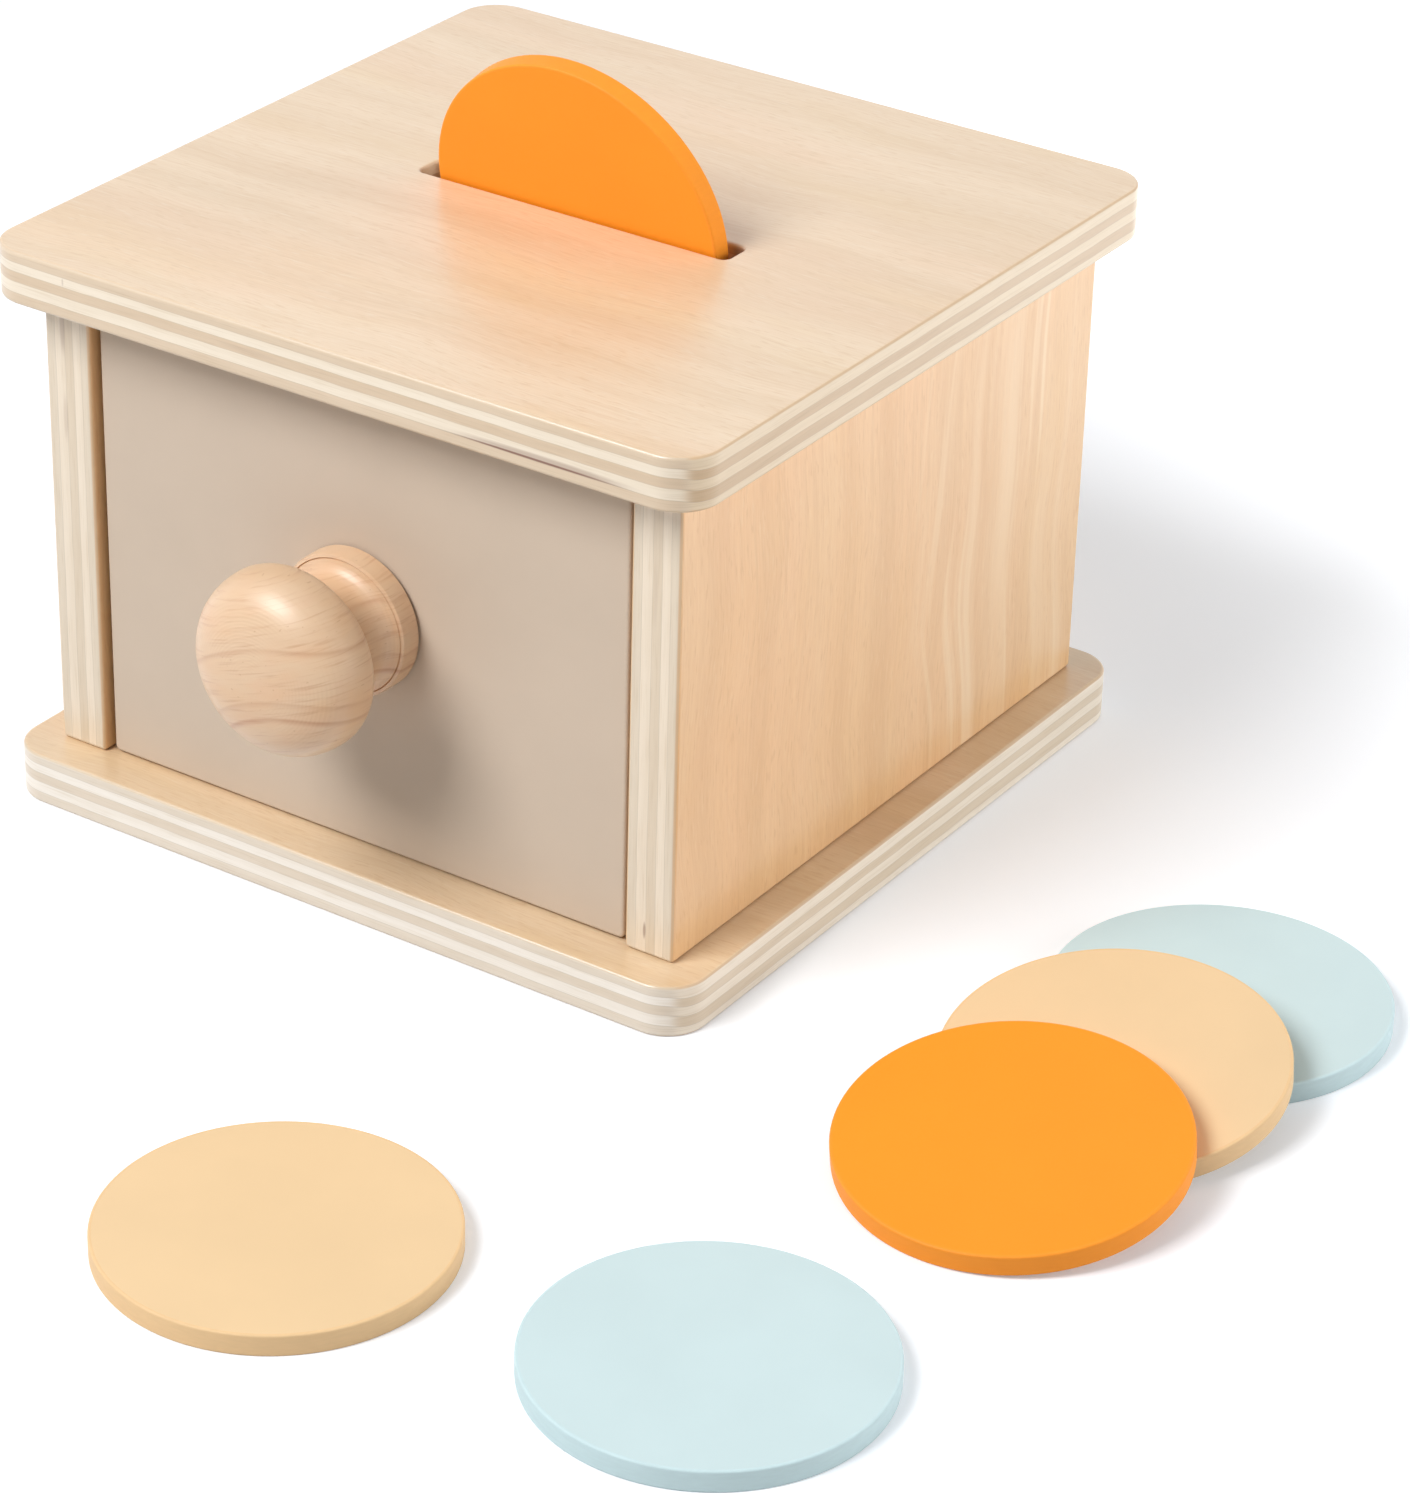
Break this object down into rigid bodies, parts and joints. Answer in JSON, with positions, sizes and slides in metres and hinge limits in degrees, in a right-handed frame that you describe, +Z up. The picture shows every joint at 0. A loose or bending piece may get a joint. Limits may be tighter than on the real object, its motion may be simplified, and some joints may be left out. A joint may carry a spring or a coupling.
{
  "type": "object permanence coin box",
  "caption": "Plywood toy box with rounded boards, a coin slot in its top, a drawer with a mushroom knob that catches the coins, and a set of thick painted wooden coins.",
  "frame": {"origin": "middle of the base board's underside, on the table that the box and the loose coins stand on", "axes": "+Z up, +X to the right of the drawer, +Y towards the back panel; the drawer opens along -Y"},
  "size_m": [0.2495, 0.266, 0.1402],
  "materials": {
    "birch_ply": "sanded birch plywood under matt clear lacquer, plies showing on the edges",
    "beech": "turned beech under satin clear lacquer",
    "taupe_paint": "matt taupe water-based paint on wood",
    "orange_paint": "matt orange water-based paint on wood",
    "peach_paint": "matt peach water-based paint on wood",
    "blue_paint": "matt pale blue water-based paint on wood",
    "zinc_steel": "bright zinc plate"
  },
  "bodies": {
    "box": {"top_board": "birch_ply", "base_board": "birch_ply", "left_side_panel": "birch_ply", "right_side_panel": "birch_ply", "back_panel": "birch_ply", "base_dowel_left_front": "beech", "base_dowel_left_back": "beech", "base_dowel_right_front": "beech", "base_dowel_right_back": "beech", "base_dowel_rear_left": "beech", "base_dowel_rear_right": "beech", "top_dowel_left_front": "beech", "top_dowel_left_back": "beech", "top_dowel_right_front": "beech", "top_dowel_right_back": "beech", "top_dowel_rear_left": "beech", "top_dowel_rear_right": "beech"},
    "drawer": {"drawer_front": "taupe_paint", "drawer_left_side": "birch_ply", "drawer_right_side": "birch_ply", "drawer_back": "birch_ply", "drawer_tray": "birch_ply", "drawer_peg_left_lower": "beech", "drawer_peg_left_upper": "beech", "drawer_peg_right_lower": "beech", "drawer_peg_right_upper": "beech", "drawer_brad_left_lower": "zinc_steel", "drawer_brad_left_upper": "zinc_steel", "drawer_brad_right_lower": "zinc_steel", "drawer_brad_right_upper": "zinc_steel", "drawer_knob": "beech", "knob_screw": "zinc_steel"},
    "slot_coin": {"slot_coin_orange": "orange_paint"},
    "peach_single_coin": {"coin_peach_single": "peach_paint"},
    "blue_single_coin": {"coin_blue_single": "blue_paint"},
    "blue_lowest_coin": {"coin_blue_lowest": "blue_paint"},
    "peach_leaning_coin": {"coin_peach_leaning": "peach_paint"},
    "orange_leaning_coin": {"coin_orange_leaning": "orange_paint"}
  },
  "joints": [
    {"name": "drawer_slide", "type": "slide", "parent": "box", "child": "drawer", "axis": [0, -1, 0], "range_m": [0, 0.1]},
    {"name": "slot_coin_drop", "type": "slide", "parent": "box", "child": "slot_coin", "axis": [0, -0.2055, 0.9787], "range_m": [-0.0645, 0.036]},
    {"name": "peach_single_lift", "type": "slide", "parent": "box", "child": "peach_single_coin", "axis": [0, 0, 1], "range_m": [0, 0.12]},
    {"name": "blue_single_lift", "type": "slide", "parent": "box", "child": "blue_single_coin", "axis": [0, 0, 1], "range_m": [0, 0.12]},
    {"name": "blue_lowest_lift", "type": "slide", "parent": "box", "child": "blue_lowest_coin", "axis": [0, 0, 1], "range_m": [0, 0.12]},
    {"name": "peach_leaning_lift", "type": "slide", "parent": "blue_lowest_coin", "child": "peach_leaning_coin", "axis": [0, 0, 1], "range_m": [0, 0.12]},
    {"name": "orange_leaning_lift", "type": "slide", "parent": "peach_leaning_coin", "child": "orange_leaning_coin", "axis": [0, 0, 1], "range_m": [0, 0.12]}
  ]
}
